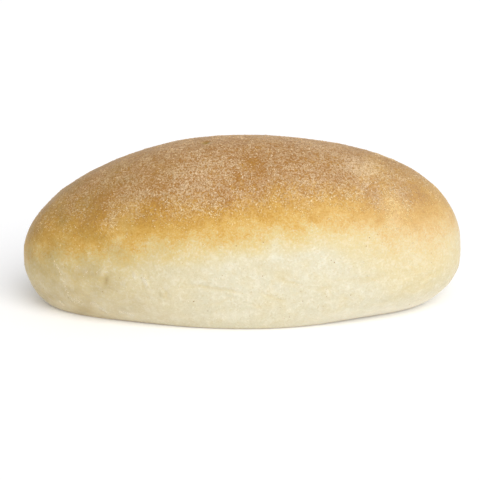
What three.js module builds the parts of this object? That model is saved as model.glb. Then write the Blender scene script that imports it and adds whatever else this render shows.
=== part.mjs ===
// A long, soft bread roll: whole, uncut and slightly lopsided, lying on its flat baked base.
// Millimetres, +Z up, +X along the roll towards its rounder-topped end.
// The origin lies on the base plane, under the middle of the roll's box.
import * as THREE from 'three';
import { mergeVertices } from 'three/addons/utils/BufferGeometryUtils.js';

// Driving dimensions
const LENGTH = 140;
const WIDTH = 68;
const HEIGHT = 53.7;
const WIDEST_HEIGHT = 17.2; // height of the line where the sides bulge furthest
const CROWN_SHARE = 0.507; // share of the length that lies on the -X side of the crown

// How far the underside would hang below the widest line if the roll had not baked flat.
// A small depth makes that end curl up further before it meets the table.
const UNDER_DEPTH = { left: 32, side: 27.5, right: 26 };

// How much of that depth is lost at most, two thirds of the way from the sides to each tip.
// It makes the roll curl up further at the four corners of its base.
const UNDER_HOLLOW = 4.2;
const HOLLOW_SCALE = 27 / 4; // brings the peak of share squared times (1 - share) up to 1

// Fullness of each curve: 2 is an ellipse, more is boxier, less is slimmer
const PLAN_FULLNESS = 2.1;
const TOP_FULLNESS = { left: 1.85, right: 2.3 };
const UNDER_FULLNESS = 2.4;
const BLEND_REACH = 0.9; // how far along the roll the left fullness turns into the right one

// Long shallow swells that a hand-shaped dough keeps
const SWELL_HEIGHT = 0.35;
const SWELL_LENGTH = { along: 66, around: 47, slanted: 53 };

// Soft folds pressed into the pale sides, each a trough along a slanted line.
// x and z give the middle, side is -1 for the front and 1 for the back.
const FOLDS = [
  { side: -1, x: -11, z: 14.5, length: 30, width: 5, depth: 0.7, slope: -0.12 },
  { side: -1, x: 13, z: 14, length: 26, width: 5, depth: 0.6, slope: 0.05 },
  { side: -1, x: 55, z: 10, length: 24, width: 6, depth: 0.7, slope: 0.3 },
  { side: -1, x: -58, z: 12, length: 20, width: 5, depth: 0.7, slope: -1.1 },
  { side: 1, x: -22, z: 13, length: 34, width: 6, depth: 0.7, slope: 0.1 },
  { side: 1, x: 30, z: 16, length: 28, width: 5, depth: 0.6, slope: -0.15 },
];
const RELIEF_START = 7; // height over which the relief fades in above the sharp base edge

// Facets along, across and up the roll
const FACETS = { along: 40, across: 18, up: 18 };

const CRUST = { color: 0xcfa468, roughness: 0.85, metalness: 0 };

const leftLength = LENGTH * CROWN_SHARE;
const rightLength = LENGTH - leftLength;
const halfWidth = WIDTH / 2;
const crownRise = HEIGHT - WIDEST_HEIGHT;

const ANGLE_TOLERANCE = 1e-6;

const { lerp, smoothstep } = THREE.MathUtils;

// The factor that brings a point with these two shares out onto a superellipse.
function outlineScale(first, second, fullness) {
  return (Math.abs(first) ** fullness + Math.abs(second) ** fullness) ** (-1 / fullness);
}

// The flank below the widest line. share runs from 0 there to 1 at the base edge,
// and endward from -1 at the left tip through 0 at the sides to 1 at the right tip.
function underProfile(share, endward) {
  const tipDepth = endward < 0 ? UNDER_DEPTH.left : UNDER_DEPTH.right;
  const away = Math.abs(endward);
  const hollow = UNDER_HOLLOW * HOLLOW_SCALE * away ** 2 * (1 - away);
  const depth = lerp(UNDER_DEPTH.side, tipDepth, away ** 2) - hollow;
  const cut = (WIDEST_HEIGHT / depth) ** UNDER_FULLNESS;
  const edgeAngle = Math.atan((cut / (1 - cut)) ** (1 / UNDER_FULLNESS));
  const angle = share * edgeAngle;
  const scale = outlineScale(Math.cos(angle), Math.sin(angle), UNDER_FULLNESS);
  return {
    reach: Math.cos(angle) * scale,
    height: WIDEST_HEIGHT - depth * Math.sin(angle) * scale,
  };
}

// The crust above the widest line, up to the crown at an angle of 90 degrees.
function topProfile(angle, rightward) {
  const blend = smoothstep(rightward, -BLEND_REACH, BLEND_REACH);
  const fullness = lerp(TOP_FULLNESS.left, TOP_FULLNESS.right, blend);
  const scale = outlineScale(Math.cos(angle), Math.sin(angle), fullness);
  return {
    reach: Math.cos(angle) * scale,
    height: WIDEST_HEIGHT + crownRise * Math.sin(angle) * scale,
  };
}

// Turns a point of the 2 x 2 x 2 cube into a point of the smooth roll.
// The cube's four lower edges become the edge of the flat base.
function rollPoint(cubePoint) {
  const direction = cubePoint.clone().normalize();
  const level = Math.hypot(direction.x, direction.y);
  const bearing = level > 0 ? Math.atan2(direction.y, direction.x) : 0;
  const cosine = Math.cos(bearing);
  const sine = Math.sin(bearing);
  const toOutline = outlineScale(cosine, sine, PLAN_FULLNESS);
  const rise = Math.atan2(direction.z, level);
  const baseEdge = -Math.atan(Math.max(Math.abs(cosine), Math.abs(sine)));

  const profile =
    rise >= 0
      ? topProfile(rise, direction.x)
      : underProfile(Math.min(rise / baseEdge, 1), cosine * toOutline);
  const onBase = rise < baseEdge + ANGLE_TOLERANCE;
  if (onBase) {
    profile.reach *= Math.min((rise + Math.PI / 2) / (baseEdge + Math.PI / 2), 1);
    profile.height = 0;
  }

  const halfLength = cosine > 0 ? rightLength : leftLength;
  return new THREE.Vector3(
    halfLength * cosine * toOutline * profile.reach,
    halfWidth * sine * toOutline * profile.reach,
    profile.height,
  );
}

// A smooth bump that is 1 at a ratio of 0, and flatter on top for a higher power.
function bell(ratio, power) {
  return Math.exp(-(Math.abs(ratio) ** power));
}

// How far the swells stand out or sink in at a point.
function swell(point) {
  const wave = (distance, length) => Math.sin((2 * Math.PI * distance) / length);
  return (
    (SWELL_HEIGHT / 3) *
    (wave(point.x + 9, SWELL_LENGTH.along) +
      wave(point.y + point.z, SWELL_LENGTH.around) +
      wave(point.x - 1.4 * point.z, SWELL_LENGTH.slanted))
  );
}

// How deep one fold is at a point.
function foldDepth(fold, point) {
  if (Math.sign(point.y) !== fold.side) {
    return 0;
  }
  const tilt = Math.hypot(1, fold.slope);
  const along = (point.x - fold.x + fold.slope * (point.z - fold.z)) / tilt;
  const across = (point.z - fold.z - fold.slope * (point.x - fold.x)) / tilt;
  const fade = bell(along / (fold.length / 2), 4);
  const trough = bell(across / (fold.width / 2), 2);
  return fold.depth * fade * trough;
}

// Moves a point of the smooth roll out or in by its swells and folds.
function addRelief(point) {
  const outward = new THREE.Vector3(
    point.x / (LENGTH / 2) ** 2,
    point.y / halfWidth ** 2,
    (point.z - WIDEST_HEIGHT) / crownRise ** 2,
  ).normalize();
  const folds = FOLDS.reduce((depth, fold) => depth + foldDepth(fold, point), 0);
  const strength = smoothstep(point.z, 0, RELIEF_START);
  point.addScaledVector(outward, strength * (swell(point) - folds));
}

// A cube of even facets, bent into the roll.
function breadRollGeometry() {
  const cube = new THREE.BoxGeometry(2, 2, 2, FACETS.along, FACETS.across, FACETS.up);
  cube.deleteAttribute('normal');
  cube.deleteAttribute('uv');
  const geometry = mergeVertices(cube);
  const positions = geometry.getAttribute('position');
  const spread = (share) => Math.tan((share * Math.PI) / 4);
  for (let i = 0; i < positions.count; i += 1) {
    const cubePoint = new THREE.Vector3().fromBufferAttribute(positions, i);
    cubePoint.set(spread(cubePoint.x), spread(cubePoint.y), spread(cubePoint.z));
    const point = rollPoint(cubePoint);
    addRelief(point);
    positions.setXYZ(i, point.x, point.y, point.z);
  }
  geometry.computeBoundingBox();
  const middle = geometry.boundingBox.getCenter(new THREE.Vector3());
  geometry.translate(-middle.x, -middle.y, 0);
  geometry.computeVertexNormals();
  return geometry;
}

const breadRoll = new THREE.Mesh(
  breadRollGeometry(),
  new THREE.MeshStandardMaterial(CRUST),
);
breadRoll.name = 'bread_roll';

const group = new THREE.Group();
group.add(breadRoll);

export default group;
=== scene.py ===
"""A long, soft bread roll, whole and uncut, with a browned top under a dusting of flour.

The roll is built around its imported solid. Lengths are millimetres, and MM turns them into
Blender's metres. +X runs along the roll, -Y out of its front flank and +Z up.
"""

import logging
import math
from dataclasses import dataclass
from enum import Enum
from functools import reduce
from typing import Union

import bmesh
import bpy
import numpy as np
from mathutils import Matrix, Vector, noise


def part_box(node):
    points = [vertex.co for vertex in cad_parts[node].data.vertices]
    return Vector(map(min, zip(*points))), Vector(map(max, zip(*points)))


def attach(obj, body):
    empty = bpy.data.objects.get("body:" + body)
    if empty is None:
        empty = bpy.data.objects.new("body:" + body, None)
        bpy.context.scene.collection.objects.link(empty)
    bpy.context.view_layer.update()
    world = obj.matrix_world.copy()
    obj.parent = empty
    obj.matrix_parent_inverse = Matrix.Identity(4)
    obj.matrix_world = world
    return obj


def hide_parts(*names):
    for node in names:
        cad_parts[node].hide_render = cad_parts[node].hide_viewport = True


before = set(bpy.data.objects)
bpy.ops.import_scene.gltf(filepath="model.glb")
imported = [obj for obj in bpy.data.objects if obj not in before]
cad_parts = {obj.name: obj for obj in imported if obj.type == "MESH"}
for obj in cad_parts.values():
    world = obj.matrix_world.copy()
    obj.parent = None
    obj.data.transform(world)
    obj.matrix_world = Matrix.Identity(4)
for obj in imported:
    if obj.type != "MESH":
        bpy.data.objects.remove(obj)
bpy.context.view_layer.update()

MM = 0.001
TINY = 1e-9  # keeps divisions clear of zero
AXIS_MARGIN = 1e-6  # nearer the upright axis than this, a direction has no bearing
EDGE_MARGIN = 1e-5  # how far above the base edge, in radians, still counts as the base
HOLLOW_SCALE = 6.75  # brings the peak of e * e * (1 - e) up to 1
FLANK_FADE = 4.0  # from the middle plane to where a mark on one flank shows in full
CAP_FLOOR = 20.0  # marks placed from above show only on crust above this height
CUBE_SIZE = 2.0  # the cube that is bent into the roll
OCTAVE_FALL = 1.0  # how fast the finer octaves of chance variation weaken
OCTAVE_STEP = 2.0  # how many times finer each octave is than the one before
FLOUR_PLACES = (0.12, 0.55, 0.95)  # browning where flour looks raw, golden and baked
PLACE, NORMAL, BROWNING, DULLNESS_AND_SHADE = slice(0, 3), slice(3, 6), 6, 7  # columns of a skin row
NODE = "bread_roll"
BODY = "root"

Array = np.ndarray
Tone = tuple[float, ...]
Span = tuple[float, float]  # where a ramp starts and ends
Tree = bpy.types.NodeTree
Socket = bpy.types.NodeSocket
Source = Union[Socket, float, tuple]

log = logging.getLogger("bread_roll")


def smooth_step(values: Array, start: float, end: float) -> Array:
    """Return shares that ease from 0 at start to 1 at end."""
    share = np.clip((values - start) / (end - start), 0.0, 1.0)
    return share * share * (3.0 - 2.0 * share)


def bell(ratio: Array, power: float = 2.0) -> Array:
    """Return a bump that is 1 at a ratio of 0, and flatter on top for a higher power."""
    return np.exp(-(np.abs(ratio) ** power))


def blend(first: Array, second: Array, share: Array) -> Array:
    """Return the mix of two values that holds this share of the second."""
    return first + (second - first) * share


def colour(*display: int) -> Tone:
    """Turn a red, green and blue from 0 to 255 into the linear colour that shaders take."""
    shares = (value / 255.0 for value in display)
    return (*(s / 12.92 if s <= 0.04045 else ((s + 0.055) / 1.055) ** 2.4 for s in shares), 1.0)


# The drab tone also paints shade onto the left end of the crust and of the loose flour.
DULL_AND_SHADED_TONE = colour(148, 122, 58)  # the dull marks, on crust and loose flour alike


class Slot(Enum):
    """Names of the crust and flour material slots."""

    CRUST = "crust"
    FLOUR = "flour"


class Side(Enum):
    """The two long flanks of the roll, by the sign of Y, and the whole of it."""

    FRONT = -1.0
    BACK = 1.0
    BOTH = 0.0

    def share(self, points: Array, fade: float = FLANK_FADE) -> Array:
        """Return how far out on this side points lie, from 0 to 1 where the fade ends."""
        shares = smooth_step(self.value * points[:, 1], 0.0, fade)
        return np.ones(len(points)) if self is Side.BOTH else shares


FRONT = Side.FRONT
BACK = Side.BACK


# ---------------------------------------------------------------- form


@dataclass(frozen=True)
class RollShape:
    """The smooth form: a superellipsoid cut flat below, slimmer at its left end."""

    low: Vector
    high: Vector
    widest_height: float = 17.2
    crown_share: float = 0.507
    under_depth_left: float = 32.0
    under_depth_side: float = 27.5
    under_depth_right: float = 26.0
    under_hollow: float = 4.2
    plan_fullness: float = 2.1
    top_fullness_left: float = 1.85
    top_fullness_right: float = 2.3
    under_fullness: float = 2.4
    blend_reach: float = 0.9

    @property
    def crown_x(self) -> float:
        """Where along the roll its crown stands."""
        return self.low.x + self.left_length

    @property
    def left_length(self) -> float:
        """Length from the crown to the left tip."""
        return (self.high.x - self.low.x) * self.crown_share

    @property
    def right_length(self) -> float:
        """Length from the crown to the right tip."""
        return self.high.x - self.low.x - self.left_length

    @property
    def half_width(self) -> float:
        """Distance from the middle plane to the widest line."""
        return (self.high.y - self.low.y) / 2.0

    @property
    def crown_rise(self) -> float:
        """Height of the crown above the widest line."""
        return self.high.z - self.widest_height

    def surface(self, cube: Array) -> Array:
        """Bend points of the cube into the smooth roll.

        The cube's four lower edges become the edge of the flat base.

        Args:
            cube: Points on the cube, one row each.

        Returns:
            The points of the roll, in the same order.
        """
        warped = np.tan(cube * (math.pi / 4.0))
        unit = warped / np.linalg.norm(warped, axis=1, keepdims=True)
        level = np.hypot(unit[:, 0], unit[:, 1])
        off_axis = level > AXIS_MARGIN
        cosine = np.where(off_axis, unit[:, 0] / np.maximum(level, TINY), 1.0)
        sine = np.where(off_axis, unit[:, 1] / np.maximum(level, TINY), 0.0)
        to_outline = self._outline_scale(cosine, sine, self.plan_fullness)
        rise = np.arctan2(unit[:, 2], level)
        base_edge = -np.arctan(np.maximum(np.abs(cosine), np.abs(sine)))

        top_reach, top_height = self._top_profile(rise, unit[:, 0])
        share = np.clip(rise / base_edge, 0.0, 1.0)
        under_reach, under_height = self._under_profile(share, cosine * to_outline)
        reach = np.where(rise >= 0.0, top_reach, under_reach)
        height = np.where(rise >= 0.0, top_height, under_height)

        quarter = math.pi / 2.0
        on_base = rise < base_edge + EDGE_MARGIN
        inset = np.clip((rise + quarter) / (base_edge + quarter), 0.0, 1.0)
        reach = np.where(on_base, reach * inset, reach)
        height = np.where(on_base, 0.0, height)
        half_length = np.where(cosine > 0.0, self.right_length, self.left_length)
        x = self.crown_x + half_length * cosine * to_outline * reach
        return np.column_stack((x, self.half_width * sine * to_outline * reach, height))

    def outward(self, points: Array) -> Array:
        """Find the direction that leads out of the roll.

        Args:
            points: Points on the roll.

        Returns:
            One unit direction for each point.
        """
        along = (points[:, 0] - self.crown_x) / self.left_length**2
        upward = (points[:, 2] - self.widest_height) / self.crown_rise**2
        slope = np.column_stack((along, points[:, 1] / self.half_width**2, upward))
        return slope / np.maximum(np.linalg.norm(slope, axis=1, keepdims=True), TINY)

    def base_share(self, points: Array) -> Array:
        """Say how far out on the base points lie.

        Args:
            points: Points on the roll.

        Returns:
            0 in the middle of the base, 1 at its edge, and more beyond it.
        """
        ahead = points[:, 0] - self.crown_x
        first = ahead / np.where(ahead > 0.0, self.right_length, self.left_length)
        second = points[:, 1] / self.half_width
        level = np.maximum(np.hypot(first, second), TINY)
        to_outline = self._outline_scale(first / level, second / level, self.plan_fullness)
        reach, _ = self._under_profile(np.ones(len(points)), first / level * to_outline)
        return level / (to_outline * reach)

    def _outline_scale(self, first: Array, second: Array, fullness: Array) -> Array:
        """Return the factor that brings two shares out onto a superellipse."""
        powers = np.abs(first) ** fullness + np.abs(second) ** fullness
        return np.maximum(powers, TINY) ** (-1.0 / fullness)

    def _top_profile(self, angle: Array, rightward: Array) -> tuple[Array, Array]:
        """Follow the crust from the widest line up to the crown.

        Args:
            angle: Angle above the widest line, a quarter turn at the crown.
            rightward: Place between -1 at the left tip and 1 at the right tip.

        Returns:
            The share of the full plan outline, and the height.
        """
        share = smooth_step(rightward, -self.blend_reach, self.blend_reach)
        fullness = blend(self.top_fullness_left, self.top_fullness_right, share)
        scale = self._outline_scale(np.cos(angle), np.sin(angle), fullness)
        return np.cos(angle) * scale, self.widest_height + self.crown_rise * np.sin(angle) * scale

    def _under_profile(self, share: Array, endward: Array) -> tuple[Array, Array]:
        """Follow the flank from the widest line down to the edge of the base.

        Args:
            share: 0 at the widest line, 1 at the edge of the base.
            endward: -1 at the left tip, 0 at the sides, 1 at the right tip.

        Returns:
            The share of the full plan outline, and the height.
        """
        tip_depth = np.where(endward < 0.0, self.under_depth_left, self.under_depth_right)
        away = np.abs(endward)
        depth = blend(self.under_depth_side, tip_depth, endward**2)
        depth = depth - self.under_hollow * HOLLOW_SCALE * away**2 * (1.0 - away)
        cut = (self.widest_height / depth) ** self.under_fullness
        angle = share * np.arctan((cut / (1.0 - cut)) ** (1.0 / self.under_fullness))
        scale = self._outline_scale(np.cos(angle), np.sin(angle), self.under_fullness)
        return np.cos(angle) * scale, self.widest_height - depth * np.sin(angle) * scale


@dataclass(frozen=True)
class Ramp:
    """An amount that eases in from none at start to all of it at end, upwards or downwards."""

    start: float
    end: float
    amount: float = 1.0

    def at(self, values: Array) -> Array:
        """Return the eased amount at each value."""
        return self.amount * smooth_step(values, self.start, self.end)


@dataclass(frozen=True)
class Unevenness:
    """Smooth chance variation, with its own grain size along each axis."""

    grain: tuple[float, float, float]
    amount: float
    octaves: int = 2
    phase: float = 0.0

    def at(self, points: Array) -> Array:
        """Return the variation at each point, about between -amount and amount."""
        places = (points / np.array(self.grain) + self.phase).tolist()
        return self.amount * np.array([
            noise.fractal(place, OCTAVE_FALL, OCTAVE_STEP, self.octaves) for place in places
        ])


@dataclass(frozen=True)
class Spot:
    """A soft round mark, placed as seen from above."""

    x: float
    y: float
    radius: float
    amount: float

    def at(self, points: Array) -> Array:
        """Return how strong the mark is at each point."""
        distance = np.hypot(points[:, 0] - self.x, points[:, 1] - self.y)
        return self.amount * bell(distance / self.radius)


@dataclass(frozen=True)
class Dimple:
    """A round dent in a flank, or a swelling if its depth is negative."""

    side: Side
    x: float
    z: float
    radius: float
    depth: float

    def at(self, points: Array) -> Array:
        """Return how far the dimple moves the skin at each point."""
        distance = np.hypot(points[:, 0] - self.x, points[:, 2] - self.z)
        return -self.depth * bell(distance / self.radius) * self.side.share(points)


@dataclass(frozen=True)
class Wave:
    """A place where the browned border runs higher, or lower if the rise is negative."""

    side: Side
    x: float
    reach: float
    rise: float
    side_fade: float = 8.0

    def at(self, points: Array) -> Array:
        """Return how far the border is lifted at each point."""
        lift = self.rise * bell((points[:, 0] - self.x) / self.reach)
        return lift * self.side.share(points, self.side_fade)


@dataclass(frozen=True)
class Streak:
    """A narrow mark on one flank, tilted in degrees and, if it has a bow, curved."""

    side: Side
    x: float
    z: float
    tilt: float
    length: float
    width: float
    amount: float
    bow: float = 0.0
    bluntness: float = 4.0

    def section(self, ratio: Array) -> Array:
        """Return how strong the mark is across its width."""
        return bell(ratio)

    def at(self, points: Array) -> Array:
        """Find how strong the mark is.

        Args:
            points: Points on the roll.

        Returns:
            The strength at each point.
        """
        turn = math.radians(self.tilt)
        level, rise = points[:, 0] - self.x, points[:, 2] - self.z
        along = 2.0 * (level * math.cos(turn) + rise * math.sin(turn)) / self.length
        across = rise * math.cos(turn) - level * math.sin(turn) + self.bow * along**2
        shown = bell(along, self.bluntness) * self.side.share(points)
        return self.amount * self.section(2.0 * across / self.width) * shown


@dataclass(frozen=True)
class Fold(Streak):
    """A soft trough pressed into a flank, or a ridge if its amount is negative."""

    lip_share: float = 0.35
    lip_place: float = 2.0

    def section(self, ratio: Array) -> Array:
        """Return the height across the fold, with a low lip along each edge."""
        return self.lip_share * bell(np.abs(ratio) - self.lip_place) - bell(ratio)


def total(marks: tuple, points: Array) -> Array:
    """Return the summed strength of several marks at each point."""
    return sum(mark.at(points) for mark in marks)


def total_on_cap(spots: tuple[Spot, ...], points: Array) -> Array:
    """Return the summed strength of spots that show only on the upper crust."""
    return total(spots, points) * (points[:, 2] > CAP_FLOOR)


def marks_of(kind: type, rows: tuple[tuple[float, ...], ...], *side: Side) -> tuple:
    """Return one mark of a kind for each row of numbers, all on one side if it is given."""
    return tuple(kind(*side, *row) for row in rows)


# Each fold: x, z, tilt, length, width, depth and bow.
FOLDS = marks_of(Fold, (
    (-7.5, 15, -8, 18, 1.3, 0.14, 0.8), (15, 16.6, -24, 8, 0.9, 0.13, -0.4),
    (24.5, 14.2, 2, 15, 0.9, 0.09, -0.7), (9, 12.6, -18, 9, 0.9, 0.12), (-7, 10.5, 16, 10, 1, 0.14),
    (2, 9.6, -22, 9, 1, 0.12), (8, 20.4, -14, 16, 4, 0.1, 0.9), (28, 13.4, 17, 10, 1.8, -0.14),
    (38, 16, 9, 12, 2.4, 0.14, -0.6), (51.5, 14.8, 32, 9, 1.4, -0.14, 0.3),
    (55, 13.4, 24, 14, 1.8, 0.16, 0.5), (50, 9.6, 16, 18, 2.2, 0.14, 0.5),
    (-56.3, 14, -68, 12, 0.9, -0.12), (-59, 17.5, -56, 6, 0.9, -0.12),
    (-61.5, 6.2, -42, 6, 1, -0.16), (-54.5, 10.5, -55, 10, 1.2, 0.07), (-49, 9, -48, 10, 1.4, 0.06),
    (-36, 10, -28, 14, 2.4, 0.06), (-32.8, 18.8, -56, 3, 1.4, -0.15),
    (-28.8, 16.3, -58, 4.2, 1.4, -0.18), (-23.6, 12.8, -50, 3.6, 1.5, 0.16),
    (-43, 18, 60, 5, 1.4, -0.16), (-35.5, 24, -40, 8, 1.8, 0.1),
), FRONT) + marks_of(Fold, (
    (-22, 15.5, 6, 20, 1.4, 0.16, 0.9), (12, 13, -12, 16, 1.8, 0.16, -0.7),
    (-6, 20, 11, 18, 3.6, 0.18), (34, 16.5, -18, 14, 1.4, 0.16, 0.6), (27, 8.5, 16, 12, 2, 0.14),
    (53, 11, 24, 14, 1.8, 0.18, 0.7), (58, 15, 38, 8, 1.3, -0.15), (-54, 13, -52, 13, 1.3, 0.17),
    (-47, 8, -36, 11, 1.6, 0.14), (-34, 19, -52, 4, 1.3, -0.28), (4, 16.5, -58, 3.6, 1.4, 0.24),
    (-15, 9, -20, 12, 2.2, 0.12),
), BACK)

# Each dimple: x, z, radius and depth.
DIMPLES = marks_of(Dimple, (
    (-41.4, 16.2, 1.3, 0.3), (-36.5, 21, 2.4, 0.14), (-26.5, 19.4, 2.4, -0.12),
    (-21, 15, 2.6, -0.14), (-14.5, 19, 2, 0.12), (1, 11, 2.4, -0.14), (24.5, 10, 3, -0.12),
    (-48, 6, 2.6, 0.14),
), FRONT) + marks_of(Dimple, (
    (-15, 12, 1.6, 0.26), (2, 17, 2.4, -0.14), (20, 18.5, 1.4, 0.26), (42, 12, 1.8, 0.22),
    (-38, 14, 2.6, -0.14),
), BACK)

# Notches, dents, swellings and broad sags of the crown: x, y, radius and height.
CROWN_MARKS = marks_of(Spot, (
    (-11.5, -3.2, 1.1, -0.8), (-26, 9, 1.4, -0.4), (24, 14, 1.2, -0.35), (39, -21, 6, -0.3),
    (17, -21, 8, 0.25), (-44, -16, 7, -0.25), (-30, 20, 9, -0.3), (34, 17, 8, 0.3),
    (-38, 4, 25, -0.5), (30, 10, 18, -0.15),
))


@dataclass(frozen=True)
class Relief:
    """Everything that lifts or sinks the skin of the smooth roll."""

    creases: tuple[Union[Fold, Dimple], ...] = FOLDS + DIMPLES
    crown_marks: tuple[Spot, ...] = CROWN_MARKS
    crown: Ramp = Ramp(18.0, 24.0)
    swells: Unevenness = Unevenness((46.0, 34.0, 30.0), 0.45, octaves=1, phase=3.1)
    lumps: Unevenness = Unevenness((15.0, 12.0, 10.0), 0.20, octaves=2, phase=7.7)
    skin: Unevenness = Unevenness((6.0, 6.0, 3.2), 0.13, octaves=4, phase=1.3)
    cap_grain: Unevenness = Unevenness((2.0, 2.0, 2.0), 0.07, octaves=2, phase=5.9)
    base_grain: Unevenness = Unevenness((9.0, 7.0, 7.0), 0.28, octaves=3, phase=9.2)
    wander_along: Unevenness = Unevenness((6.0, 6.0, 4.0), 1.1, octaves=2, phase=4.4)
    wander_up: Unevenness = Unevenness((7.0, 6.0, 5.0), 1.0, octaves=2, phase=8.3)
    strength: Unevenness = Unevenness((4.5, 4.5, 3.0), 0.55, octaves=2, phase=2.9)
    smoothed_by_baking: float = 0.75
    pale_grain_share: float = 0.35
    above_edge: Ramp = Ramp(0.0, 5.0)

    def creases_at(self, points: Array) -> Array:
        """Sum the folds and dimples, shifted a little so that no fold runs straight.

        Args:
            points: Points on the smooth roll.

        Returns:
            Their height at each point.
        """
        strayed = points.copy()
        strayed[:, 0] += self.wander_along.at(points)
        strayed[:, 2] += self.wander_up.at(points)
        return total(self.creases, strayed) * (1.0 + self.strength.at(points))

    def height_at(self, points: Array, browning: Array) -> Array:
        """Find how far the crust stands off the smooth roll.

        Args:
            points: Points on the smooth roll.
            browning: How baked the crust is there, from 0 to 1.

        Returns:
            The height along the outward direction at each point.
        """
        broad = self.swells.at(points) + self.lumps.at(points)
        crown = total(self.crown_marks, points) * self.crown.at(points[:, 2])
        pale = self.skin.at(points) * (1.0 - self.smoothed_by_baking * browning)
        baked = self.cap_grain.at(points) * blend(self.pale_grain_share, 1.0, browning)
        height = broad + crown + pale + baked + self.creases_at(points)
        return self.above_edge.at(points[:, 2]) * height

    def base_lift(self, points: Array) -> Array:
        """Return how far the uneven underside lies above the table at each point."""
        return np.maximum(self.base_grain.at(points), 0.0)


# ---------------------------------------------------------------- bake and flour

# Each wave of the browned border: x, reach and rise.
WAVES = marks_of(Wave, (
    (-37, 8, -1.2), (-23, 6, -1.2), (-60, 6, 2.2), (-2, 3.6, 0.2), (5.5, 3.5, -0.6), (10, 2.2, 1.8),
    (21, 12, 1.8), (38, 6, 0.4), (48, 4.5, -1.3),
), FRONT) + marks_of(Wave, ((57, 12, -4.4),), Side.BOTH) + marks_of(Wave, (
    (-46, 10, -2.5), (-12, 7, 2), (29, 9, -2.2), (49, 6, 1),
), BACK)

# Places on the cap that baked darker, or lighter: x, y, radius and amount.
AMBER_SPOTS = marks_of(Spot, (
    (1, -19, 4.6, 0.06), (39.5, -19.4, 4, 0.2), (41, -22.5, 3.5, 0.16), (36, -26.5, 3.5, 0.11),
    (53, -13.5, 5, 0.17), (58.5, -12, 3.5, -0.03), (47.5, -16.5, 3, 0.1), (46, -28, 4, 0.08),
    (-46.6, -21.4, 4, 0.09), (-26.4, -27.4, 4, 0.02), (-36, -26.5, 4, -0.1), (27, -27.5, 5, -0.06),
    (46.8, -22.5, 2.8, -0.06), (-24, 20, 6, 0.06), (33, 22, 5, 0.08), (43, 14, 6, 0.1),
    (48.5, 19.5, 3.6, 0.14), (53, 6, 6, 0.06),
))

# Dull marks in the pale skin: x, z, tilt, length, width and amount.
DRAB_MARKS = marks_of(Streak, (
    (-41.5, 15.3, 78, 3, 1, 0.26), (-45.6, 16.8, 40, 1.4, 0.9, 0.16),
    (-24.5, 12.3, -60, 2.2, 1.1, 0.24), (-28.2, 18, -60, 1.6, 1, 0.1),
), FRONT) + marks_of(Streak, (
    (-30, 14, 70, 2.6, 1, 0.24), (38, 17, -50, 2.2, 1.1, 0.2),
), BACK)

# Places on the cap with more flour, or less: x, y, radius and amount.
FLOUR_PATCHES = marks_of(Spot, (
    (-12, -20, 9, 0.36), (-26, -20.5, 4, 0.14), (-32, -15, 4, 0.16), (17, -22, 9, 0.42),
    (37.6, -12.2, 4.6, 1.05), (-39.5, -24, 3, 0.34), (-35, -22.2, 3.2, 0.24),
    (-31.5, -24.5, 3, 0.2), (45.4, -23.2, 4.8, 1.15), (36, -20, 3, 0.36), (49, -17, 4, 0.26),
    (48.5, -11.5, 3, 0.3), (23, -4.5, 5, 0.28), (27, -19.5, 3.5, 0.2), (1.5, -19, 4.6, -0.44),
    (24.5, -23, 3, -0.14), (2.2, -25.5, 3.6, 0.16), (-9, -27, 4, -0.2), (15, -29.5, 4, -0.16),
    (11.5, -24, 3, -0.2), (-47, -14, 5, 0.15), (43.7, -18.5, 2.4, -0.24), (17.8, -18, 4, -0.32),
    (40, -20.5, 3, -0.3), (53, -13, 4, -0.36), (58, -14, 3, -0.22), (45.5, -3, 4, -0.2),
    (-45, -19.5, 3.5, -0.24), (-28, -26.5, 4, -0.3), (-22, 14, 9, 0.4), (20, 18, 8, 0.4),
    (45, 20, 5, 0.8), (49, 8, 6, 0.5), (0, 22, 5, -0.3), (54, 14, 3.5, -0.24), (-48, 14, 5, -0.24),
))

# Flour rubbed into the flanks: x, z, tilt, length, width and amount.
FLOUR_STREAKS = marks_of(Streak, (
    (-57.1, 17, -61, 5.4, 0.8, 0.4), (-54.6, 10.6, -72, 6, 0.8, 0.3),
    (-56.7, 4.2, -51, 2.6, 0.9, 0.6), (-51.3, 6.2, -15, 4.4, 2.4, 0.34),
    (-44.8, 5.6, -35, 5, 1.8, 0.34), (-42.4, 3.9, -33, 2.8, 0.9, 0.6),
    (-35.8, 4, -13, 5.2, 1.2, 0.9), (-44, 18, 41, 2.6, 1, 0.46), (-42.2, 18.6, -18, 2.4, 0.9, 0.42),
    (-47.9, 17, 68, 2.8, 0.9, 0.42), (-32.8, 18.2, -56, 2.8, 1.5, 0.62),
    (-29.2, 16.4, -70, 3.6, 1.4, 0.72), (-4, 5.8, 4, 18, 2.8, 0.34), (30, 4.6, 8, 12, 2, 0.22),
), FRONT) + marks_of(Streak, (
    (44, 4.6, 10, 14, 2.2, 0.45), (-30, 5, -6, 18, 2.4, 0.4), (-56, 7, -44, 8, 1.4, 0.5),
), BACK)


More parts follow.
